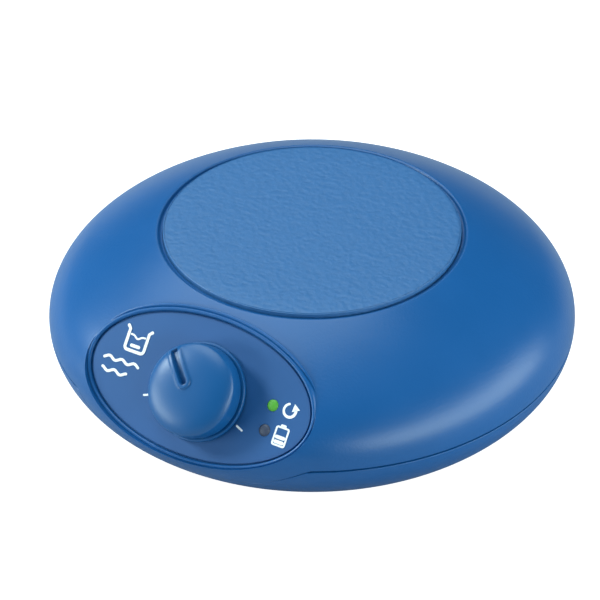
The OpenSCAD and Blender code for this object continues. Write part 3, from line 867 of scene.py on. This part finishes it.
# Title, colour or the name of its setting, roughness, grain, cell, depth, and what else differs
FINISHES = {
    "housing": ("Satin Housing", "housing", 0.34, "moulded", 1500, 0.00003,
                {"swing": 0.04, "Specular_IOR_Level": 0.42}),
    "plate": ("Embossed Plate", "plate", 0.48, "embossed", 640, 0.00014, {"tint": 0.12}),
    "film": ("Printed Film", "film", 0.5, "moulded", 2600, 0.00001, {"swing": 0.04}),
    "knob": ("Knob Plastic", "knob", 0.38, "moulded", 1600, 0.00001, {"swing": 0.04}),
    "ink": ("White Ink", "ink", 0.55, "moulded", 3000, 0.000004, {"tint": 0.03}),
    "run_light": ("Lit Lens", "run_light", 0.5, "moulded", 900, 0.000002,
                  {"tint": 0.15, "Emission_Color": (0.10, 0.50, 0.03, 1), "Emission_Strength": 0.12}),
    "dark_light": ("Dark Lens", "dark_light", 0.5, "moulded", 900, 0.000002, {"tint": 0.15}),
    "rubber": ("Foot Rubber", "rubber", 0.7, "moulded", 900, 0.00003, {"tint": 0.2}),
    "steel": ("Zinc Steel", (0.52, 0.53, 0.55), 0.34, "moulded", 500, 0.000006, {"tint": 0.1, "Metallic": 1}),
    "can": ("Drawn Steel", (0.46, 0.47, 0.5), 0.28, "moulded", 200, 0.000006, {"tint": 0.08, "Metallic": 1}),
    "nickel": ("Nickel", (0.66, 0.63, 0.58), 0.2, "moulded", 400, 0.000004, {"Metallic": 1}),
    "bronze": ("Sintered Bronze", (0.55, 0.36, 0.16), 0.42, "moulded", 1800, 0.00001,
               {"tint": 0.16, "Metallic": 1}),
    "magnet": ("Magnet", (0.35, 0.35, 0.37), 0.25, "moulded", 300, 0.000004, {"tint": 0.08, "Metallic": 1}),
    "nylon": ("Natural Nylon", (0.72, 0.70, 0.64), 0.5, "moulded", 700, 0.00001, {}),
    "board": ("Green Board", (0.012, 0.13, 0.045), 0.3, "embossed", 420, 0.00001, {"tint": 0.3}),
    "black": ("Black Plastic", (0.02, 0.02, 0.022), 0.45, "moulded", 900, 0.00002, {"tint": 0.2}),
    "sleeve": ("Cell Sleeve", (0.05, 0.075, 0.10), 0.25, "moulded", 150, 0.000004, {"tint": 0.1}),
    "foam": ("Foam", (0.045, 0.045, 0.05), 0.9, "embossed", 1600, 0.0001, {"tint": 0.35}),
    "wire": ("Wire Cover", (0.09, 0.07, 0.07), 0.5, "moulded", 500, 0.00001, {"tint": 0.2}),
}


class Finishes(dict):
    """Every finish, made the first time it is asked for."""

    grains = {}

    def __missing__(self, name):
        title, colour, rough, grain, cell, depth, more = FINISHES[name]
        if not self.grains:
            self.grains.update(moulded=grain_group(), embossed=leather_group())
        if isinstance(colour, str):
            colour = getattr(colours(), colour)
        self[name] = finish(title, colour, rough, self.grains[grain], cell, depth, **more)
        return self[name]


FINISH = Finishes()
CAD_FINISHES = {
    "steel": ("pot_shaft", "control_board_screws", "motor_shaft", "magnet_yoke", "chassis_plate",
              "motor_screws", "chassis_screws", "housing_screws", "main_board_screws"),
    "can": ("motor_can",),
    "nickel": ("pot_nut", "battery_contacts", "battery_springs"),
    "bronze": ("motor_bearing",),
    "magnet": ("drive_magnets",),
    "nylon": ("magnet_carrier",),
    "board": ("control_board", "main_board"),
    "black": ("potentiometer", "board_parts", "dc_socket"),
    "sleeve": ("battery_cells",),
    "foam": ("cover_pad",),
    "wire": ("battery_leads", "motor_leads", "panel_harness"),
    "run_light": ("run_led",),
    "dark_light": ("battery_led",),
    "housing": ("battery_cover",),
}


# ---------------------------------------------------------------- operators


class STIRRER_OT_top_shell(bpy.types.Operator):
    """Upper shell: crown, side, panel bead, groove and chin"""

    bl_idname = "stirrer.top_shell"
    bl_label = "Upper Shell"

    def execute(self, context):
        top_shell_skin(Housing()).piece(
            "top_shell_skin", FINISH["housing"], "housing", "housing_upper", "top_shell")
        return {"FINISHED"}


class STIRRER_OT_bottom_shell(bpy.types.Operator):
    """Lower shell: side, underside, hatch opening and battery bay"""

    bl_idname = "stirrer.bottom_shell"
    bl_label = "Lower Shell"

    def execute(self, context):
        bottom_shell_skin(Housing()).piece(
            "bottom_shell_skin", FINISH["housing"], "housing", "housing_lower", "bottom_shell")
        return {"FINISHED"}


class STIRRER_OT_plate(bpy.types.Operator):
    """Set-up plate with its rounded edge"""

    bl_idname = "stirrer.plate"
    bl_label = "Set-up Plate"

    def execute(self, context):
        radius, low, high = PLATE_BOX[1].x, PLATE_BOX[0].z, PLATE_BOX[1].z
        turns = column_turns()
        skin = Skin()
        loops = [skin.loop(body_ring(turns, r, low)) for r in (radius * 0.5, radius)]
        edge = 0.25 * MM
        for along, inward in list(around_edge(edge, 6))[::-1]:
            loops.append(skin.loop(body_ring(turns, radius - edge + along, high - edge + inward)))
        for part in (0.97, 0.8, 0.6, 0.4, 0.2, 0.08):
            loops.append(skin.loop(body_ring(turns, radius * part, high)))
        skin.stack(loops)
        skin.close(loops[0], (0, 0, low))
        skin.close(loops[-1], (0, 0, high))
        skin.piece("plate_surface", FINISH["plate"], "housing", "plate_surface", "set_up_plate")
        return {"FINISHED"}


class STIRRER_OT_film(bpy.types.Operator):
    """Printed oval film with openings for the indicators"""

    bl_idname = "stirrer.film"
    bl_label = "Panel Film"

    def execute(self, context):
        body = Housing()
        turns = circle_turns(OVAL_POINTS)
        skin = Skin()
        low = skin.loop(body.on_panel(*body.oval(0, turns), -FILM_DEPTH))
        rows = [low]
        edge = 0.12 * MM
        for along, inward in list(around_edge(edge))[::-1]:
            rows.append(skin.loop(body.on_panel(*body.oval(along - edge, turns), inward - edge)))
        skin.stack(rows)
        flat = {k: uv for ring in (rows[0], rows[-1])
                for k, uv in zip(ring, zip(*body.oval(0 if ring is low else -edge, turns)))}
        openings = [(KNOB_U, KNOB_V, 6.5 * MM, 96)] + [(LED_U, v, 1.6 * MM, 48) for v in LED_VS]
        top_holes, low_holes = [], []
        for u, v, radius, count in openings:
            ring = circle(radius, 0, count, (u, v))
            upper = skin.loop(body.on_panel(ring[:, 0], ring[:, 1], 0))
            lower = skin.loop(body.on_panel(ring[:, 0], ring[:, 1], -FILM_DEPTH))
            skin.bridge(upper, lower)
            for made, group in ((upper, top_holes), (lower, low_holes)):
                flat.update({k: tuple(p[:2]) for k, p in zip(made, ring)})
                group.append(made)
        skin.fill(flat, rows[-1], top_holes)
        skin.fill(flat, low, low_holes)
        skin.piece("film_sheet", FINISH["film"], "housing", "panel_film", "panel_film")
        return {"FINISHED"}


class Stamp:
    """Flat white print on the film, as thin closed solids."""

    def __init__(self, body):
        self.body, self.skin = body, Skin()

    def _solid(self, ring_pairs):
        """A strip given as pairs of left and right points."""
        rows = []
        for left, right in ring_pairs:
            four = [self.body.on_panel(*left, PRINT_RISE), self.body.on_panel(*right, PRINT_RISE),
                    self.body.on_panel(*right, -PRINT_RISE), self.body.on_panel(*left, -PRINT_RISE)]
            rows.append(self.skin.loop(four))
        self.skin.stack(rows)
        self.skin.faces.append(tuple(rows[0]))
        self.skin.faces.append(tuple(rows[-1][::-1]))

    @staticmethod
    def _cap(end, way, side, reach, turns):
        """Pairs of points around a line's round end, from its width out to its tip."""
        return [(end + reach * (way * math.sin(a) + side * math.cos(a)),
                 end + reach * (way * math.sin(a) - side * math.cos(a))) for a in turns]

    def stroke(self, path, width, closed=False):
        """A line of even or changing width with round ends."""
        path = np.array(path, float)
        width = np.broadcast_to(width, len(path)).astype(float)
        way = np.gradient(path, axis=0)
        if closed:
            way = np.roll(path, -1, axis=0) - np.roll(path, 1, axis=0)
        way /= np.linalg.norm(way, axis=1)[:, None]
        side = np.stack([-way[:, 1], way[:, 0]], axis=1)
        pairs = [(p + d * w / 2, p - d * w / 2) for p, d, w in zip(path, side, width)]
        if closed:
            pairs.append(pairs[0])
        else:
            turns = np.linspace(math.pi / 12, math.pi / 2, 6)
            pairs = self._cap(path[0], -way[0], side[0], width[0] / 2, turns)[::-1] + pairs
            pairs += self._cap(path[-1], way[-1], side[-1], width[-1] / 2, turns)
        self._solid(pairs)

    def wedge(self, base, tip, width):
        """A pointed arrow head."""
        way = (tip - base) / np.linalg.norm(tip - base)
        side = np.array([-way[1], way[0]])
        point = side * 0.03 * MM
        self._solid([(base + side * width / 2, base - side * width / 2), (tip + point, tip - point)])

    def line(self, a, b, width):
        t = np.linspace(0, 1, 5)[:, None]
        self.stroke(np.array(a) * (1 - t) + np.array(b) * t, width)


def arc_path(centre, radius, start, stop, count=40):
    a = np.radians(np.linspace(start, stop, count))
    return np.stack([centre[0] + radius * np.cos(a), centre[1] + radius * np.sin(a)], axis=1)


class STIRRER_OT_print(bpy.types.Operator):
    """White signs: a beaker with a stirring bar, a turning arrow, a battery and two scale ticks"""

    bl_idname = "stirrer.print"
    bl_label = "Panel Print"

    def execute(self, context):
        stamp = Stamp(Housing())
        for side in (-1, 1):
            ends = [((0.3 + side * r) * MM, (-0.8 - 0.4 * r) * MM) for r in (13.2, 14.9)]
            stamp.line(*ends, 0.55 * MM)
        # Turning arrow beside the run light
        c = (26.3 * MM, 2.2 * MM)
        stamp.stroke(arc_path(c, 1.7 * MM, 112, 372), np.linspace(0.6, 0.8, 40) * MM)
        base = arc_path(c, 1.7 * MM, 372, 372, 1)[0]
        lean = math.radians(117)
        stamp.wedge(base, base + 1.8 * MM * np.array([math.cos(lean), math.sin(lean)]), 2.3 * MM)
        # Battery with its charge
        bx, by, bw, bh = 26.1 * MM, -4.9 * MM, 1.75 * MM, 2.35 * MM
        outline = rounded_box(bx - bw, by - bh, bx + bw, by + bh, 0.4 * MM, 0, 4)[:, :2]
        stamp.stroke(outline, 0.5 * MM, closed=True)
        cap, cap_v = 0.45 * MM, by + bh + 0.45 * MM
        stamp.line((bx - cap, cap_v), (bx + cap, cap_v), 0.75 * MM)
        for k in range(2):
            y = by - bh + (0.85 + 1.25 * k) * MM
            stamp.line((bx - bw + 0.75 * MM, y), (bx + bw - 0.75 * MM, y), 0.95 * MM)
        self.beaker(stamp, -21.6 * MM, 6.1 * MM)
        # Two waves under the beaker, as place and half length in mm
        for u, v, half in ((-24.0, -0.4, 5.2), (-25.2, -3.6, 3.6)):
            x = np.linspace(-half, half, 50) * MM
            wave = 0.4 * MM * np.cos(x / (1.9 * MM) * math.pi)
            stamp.stroke(np.stack([u * MM + x, v * MM + wave], axis=1), 0.75 * MM)
        stamp.skin.piece("panel_print", FINISH["ink"], "housing", "panel_film")
        return {"FINISHED"}

    def beaker(self, stamp, u, v):
        """Beaker outline with a lip, a wavy level and a stirring bar."""
        w, h, line = 2.9 * MM, 3.1 * MM, 0.85 * MM
        r = 0.9 * MM
        left = [(u - w - 0.7 * MM, v + h), (u - w, v + h - 0.7 * MM), (u - w, v)]
        path = np.array(left + [(u - w, v - h + r)])
        corner_l = arc_path((u - w + r, v - h + r), r, 180, 270, 8)
        corner_r = arc_path((u + w - r, v - h + r), r, 270, 360, 8)
        right = np.array([(u + w, v), (u + w, v + h - 0.7 * MM), (u + w + 0.7 * MM, v + h)])
        stamp.stroke(np.concatenate([path, corner_l, corner_r, right]), line)
        x = np.linspace(-w + 0.8 * MM, w - 0.8 * MM, 30)
        level = v + 1.1 * MM - 0.8 * MM * np.exp(-(x / (0.9 * MM)) ** 2)
        stamp.stroke(np.stack([u + x, level], axis=1), 0.5 * MM)
        stamp.line((u - 1.1 * MM, v - h + 1.4 * MM), (u + 1.1 * MM, v - h + 1.4 * MM), 0.9 * MM)


class STIRRER_OT_knob(bpy.types.Operator):
    """Speed knob with its flange, domed top and pointer groove"""

    bl_idname = "stirrer.knob"
    bl_label = "Knob"

    GRIP_TOP = 6.3 * MM
    DOME = 2.9 * MM
    TOP_RADIUS = 12.1 * MM
    POINTER_FROM = 2.1 * MM
    POINTER_TURN = math.radians(42)
    BORE_TOP = 7.9 * MM
    # Hollow foot, flange, grip and shoulder from the bore outwards, as radius and height in mm
    OUTLINE = [(3.05, 4.0), (7.9, 4.0), (8.0, 3.9), (8.0, 0.5), (8.1, 0.4), (12.8, 0.4),
               (12.94, 0.46), (13.0, 0.6), (13.0, 1.2), (12.95, 1.4), (12.86, 1.52), (12.72, 1.58),
               (12.4, 1.58), (12.1, 1.5), (11.85, 1.52), (11.78, 1.65), (11.78, 1.85), (11.85, 1.98),
               (12.05, 2.06), (12.2, 2.16), (12.25, 2.35), (12.25, 2.8), (12.22, 3.6), (12.17, 4.8),
               (12.13, 5.7)]
    EDGE_PARTS = (0.9995, 0.998, 0.995, 0.99, 0.982, 0.972, 0.96, 0.945)

    def rise(self, x, y):
        """Height of the top over the knob's foot, with the pointer's groove and its raised lips."""
        r = np.hypot(x, y)
        dome = self.GRIP_TOP + self.DOME * np.clip(1 - (r / self.TOP_RADIUS) ** 2.7, 0, 1) ** 0.55
        d = self.pointer_distance(x, y)
        ridge = smooth_step(d, 2.2 * MM, 1.75 * MM) * 0.38 * MM
        slot = smooth_step(d, 1.05 * MM, 0.75 * MM) * 1.4 * MM
        fade = smooth_step(r, 11.6 * MM, 10.6 * MM)
        return dome + (ridge - slot) * fade

    def pointer_distance(self, x, y):
        along = np.clip(y, self.POINTER_FROM, 20 * MM)
        return np.hypot(x, y - along)

    def execute(self, context):
        body = Housing()
        cos, sin = math.cos(self.POINTER_TURN), math.sin(self.POINTER_TURN)
        skin = Skin()
        count = 240
        turns = circle_turns(count)

        def place(x, y, z):
            return body.on_panel(x * cos - y * sin + KNOB_U, x * sin + y * cos + KNOB_V, z)

        def ring(r, z):
            return skin.loop(place(r * np.cos(turns), r * np.sin(turns), np.full(count, z)))

        loops = [ring(r * MM, z * MM) for r, z in self.OUTLINE]
        loops.append(ring(self.TOP_RADIUS, self.GRIP_TOP))
        for part in self.EDGE_PARTS:
            rim_r = self.TOP_RADIUS * part
            x, y = rim_r * np.cos(turns), rim_r * np.sin(turns)
            loops.append(skin.loop(place(x, y, self.rise(x, y))))
        rim = skin.stack(loops)
        flat = dict(zip(rim, zip(x, y)))
        # Points over the top: rings around the middle, and rows along the pointer's edges
        spots = []
        for r in np.arange(0.35, rim_r / MM - 0.3, 0.35) * MM:
            some = max(8, int(2 * math.pi * r / (0.4 * MM)))
            a = circle_turns(some)
            x, y = r * np.cos(a), r * np.sin(a)
            far = self.pointer_distance(x, y) > 2.5 * MM
            spots += list(zip(x[far], y[far]))
        for d in (0.3, 0.55, 0.72, 0.82, 0.92, 1.02, 1.12, 1.35, 1.6, 1.74, 1.86, 1.98, 2.1, 2.24):
            d *= MM
            for side in (-1, 1):
                y = np.arange(self.POINTER_FROM, 12 * MM, 0.22 * MM)
                spots += [(side * d, b) for b in y]
            a = np.linspace(math.pi, 2 * math.pi, max(5, int(d * math.pi / (0.2 * MM))))[1:-1]
            spots += list(zip(d * np.cos(a), self.POINTER_FROM + d * np.sin(a)))
        spots += [(0.0, b) for b in np.arange(self.POINTER_FROM, 12 * MM, 0.22 * MM)]
        spots = np.array([p for p in spots if math.hypot(*p) < rim_r - 0.15 * MM])
        made = skin.loop(place(spots[:, 0], spots[:, 1], self.rise(spots[:, 0], spots[:, 1])))
        flat.update({k: tuple(p) for k, p in zip(made, spots)})
        skin.fill(flat, rim, [], made)
        # Bore for the shaft
        bore = [loops[0], ring(self.OUTLINE[0][0] * MM, self.BORE_TOP)]
        skin.close(skin.stack(bore), place(0.0, 0.0, self.BORE_TOP))
        skin.piece("knob_body", FINISH["knob"], "knob", "knob_plastic", "control_knob")
        return {"FINISHED"}


class STIRRER_OT_feet(bpy.types.Operator):
    """Four rubber feet with rounded edges and a shallow cup"""

    bl_idname = "stirrer.feet"
    bl_label = "Rubber Feet"

    # From the cup under the foot to its top inside the shell, as radius and height in mm
    OUTLINE = [(0.2, 0.35), (3.6, 0.35), (3.9, 0.25), (4.15, 0.06), (4.4, 0.0), (4.9, 0.0), (5.3, 0.1),
               (5.65, 0.35), (5.85, 0.7), (5.92, 1.1), (5.97, 2.75), (0.2, 2.75)]

    def execute(self, context):
        skin = Skin()
        for x, y in foot_spots():
            loops = [skin.loop(circle(r * MM, z * MM, 64, (x, y))) for r, z in self.OUTLINE]
            skin.stack(loops)
            for ring, (_, z) in ((loops[0], self.OUTLINE[0]), (loops[-1], self.OUTLINE[-1])):
                skin.close(ring, (x, y, z * MM))
        skin.piece("feet_pads", FINISH["rubber"], "housing", "feet_rubber", "rubber_feet")
        return {"FINISHED"}


class STIRRER_OT_inner_finishes(bpy.types.Operator):
    """Finishes for the pieces that keep their frame shape"""

    bl_idname = "stirrer.inner_finishes"
    bl_label = "Inner Finishes"

    def execute(self, context):
        for name, nodes in CAD_FINISHES.items():
            for node in nodes:
                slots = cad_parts[node].material_slots
                if not slots:
                    raise RuntimeError(f"{node} has no material slot")
                for one in slots:
                    one.material = FINISH[name]
        return {"FINISHED"}


class STIRRER_OT_stage(bpy.types.Operator):
    """Pale floor, soft studio lights and the camera"""

    bl_idname = "stirrer.stage"
    bl_label = "Stage"

    VIEW = (30.5, 35.26, 0.9)  # azimuth, elevation and distance of the camera
    VIEW_CENTRE = Vector((0, 0, 0.022))
    LENS, SENSOR = 198.7, 36
    SHIFT = (-0.02017, -0.005)  # of the frame, as parts of its width
    LIGHT_CENTRE = Vector((0, 0, 0.02))
    LIGHT_TINT = (0.84, 1.0, 0.99)
    FLOOR_HALF = 6

    def execute(self, context):
        self.camera(context)
        self.floor(context)
        self.lights(context)
        return {"FINISHED"}

    def aim(self, context, name, data, centre, azimuth, elevation, distance):
        """Adds a camera or light that looks at centre; azimuth 0 is in front, +90 to the right."""
        thing = bpy.data.objects.new(name, data)
        a, e = math.radians(azimuth), math.radians(elevation)
        back = Vector((math.sin(a) * math.cos(e), -math.cos(a) * math.cos(e), math.sin(e)))
        thing.location = centre + distance * back
        thing.rotation_euler = back.to_track_quat("Z", "Y").to_euler()
        context.scene.collection.objects.link(thing)
        return thing

    def camera(self, context):
        data = bpy.data.cameras.new("Camera")
        data.lens, data.sensor_width = self.LENS, self.SENSOR
        data.shift_x, data.shift_y = self.SHIFT
        data.clip_start = 0.01
        context.scene.camera = self.aim(context, "Camera", data, self.VIEW_CENTRE, *self.VIEW)

    def floor(self, context):
        size = self.FLOOR_HALF
        skin = bpy.data.meshes.new("Floor")
        corners = [(-size, -size, 0), (size, -size, 0), (size, size, 0), (-size, size, 0)]
        skin.from_pydata(corners, [], [(0, 1, 2, 3)])
        floor = bpy.data.objects.new("Floor", skin)
        made = bpy.data.materials.new("Pale Floor")
        made.use_nodes = True
        shader = made.node_tree.nodes["Principled BSDF"]
        shader.inputs["Base Color"].default_value = (0.46, 0.46, 0.47, 1)
        shader.inputs["Roughness"].default_value = 0.9
        shader.inputs["Emission Color"].default_value = (1, 1, 1, 1)
        # A lit table: white for the camera, dimmer for what the object picks up from it
        path = add(made.node_tree, "ShaderNodeLightPath")
        glow = add(made.node_tree, "ShaderNodeMapRange")
        glow.inputs["To Min"].default_value = 0.0
        glow.inputs["To Max"].default_value = 0.95
        made.node_tree.links.new(path.outputs["Is Camera Ray"], glow.inputs["Value"])
        made.node_tree.links.new(glow.outputs["Result"], shader.inputs["Emission Strength"])
        skin.materials.append(made)
        context.scene.collection.objects.link(floor)

    def softbox(self, context, name, spot, width, height, power):
        """A rectangular light at an azimuth, elevation and distance."""
        data = bpy.data.lights.new(name, "AREA")
        data.shape = "RECTANGLE"
        data.size, data.size_y = width, height
        data.energy = power
        data.color = self.LIGHT_TINT
        self.aim(context, name, data, self.LIGHT_CENTRE, *spot)

    def lights(self, context):
        world = bpy.data.worlds.new("Studio")
        context.scene.world = world
        world.use_nodes = True
        sky = world.node_tree.nodes["Background"]
        sky.inputs["Color"].default_value = (0.93, 0.97, 1.0, 1)
        sky.inputs["Strength"].default_value = 0.07
        self.softbox(context, "Top Box", (-118, 68, 1.0), 0.86, 1.02, 9.6)
        self.softbox(context, "Key Box", (-66, 31, 1.0), 0.24, 0.24, 6.9)
        self.softbox(context, "Left Box", (-46, 5, 0.9), 0.6, 0.2, 4.2)
        self.softbox(context, "Right Strip", (92, 18, 0.9), 1.7, 0.36, 12.6)
        context.scene.view_settings.view_transform = "Standard"


# ---------------------------------------------------------------- panel and start


class STIRRER_PT_panel(bpy.types.Panel):
    """Lists the pieces"""

    bl_label = "Magnetic Stirrer"
    bl_idname = "STIRRER_PT_panel"
    bl_space_type = "VIEW_3D"
    bl_region_type = "UI"
    bl_category = "Stirrer"

    def draw(self, context):
        for group in (context.scene.stirrer_shape, context.scene.stirrer_colours):
            box = self.layout.box()
            for name in group.bl_rna.properties.keys():
                if name not in ("name", "rna_type"):
                    box.prop(group, name)
        for piece in PIECES:
            self.layout.operator(piece.bl_idname)


PIECES = (
    STIRRER_OT_top_shell,
    STIRRER_OT_bottom_shell,
    STIRRER_OT_plate,
    STIRRER_OT_film,
    STIRRER_OT_print,
    STIRRER_OT_knob,
    STIRRER_OT_feet,
    STIRRER_OT_inner_finishes,
    STIRRER_OT_stage,
)
CLASSES = (StirrerShape, StirrerColours, *PIECES, STIRRER_PT_panel)


def register():
    for cls in CLASSES:
        bpy.utils.register_class(cls)
    bpy.types.Scene.stirrer_shape = PointerProperty(type=StirrerShape)
    bpy.types.Scene.stirrer_colours = PointerProperty(type=StirrerColours)


def unregister():
    del bpy.types.Scene.stirrer_colours
    del bpy.types.Scene.stirrer_shape
    for cls in reversed(CLASSES):
        bpy.utils.unregister_class(cls)


def main():
    register()
    for piece in PIECES:
        group, name = piece.bl_idname.split(".")
        getattr(getattr(bpy.ops, group), name)()


if __name__ == "__main__":
    main()
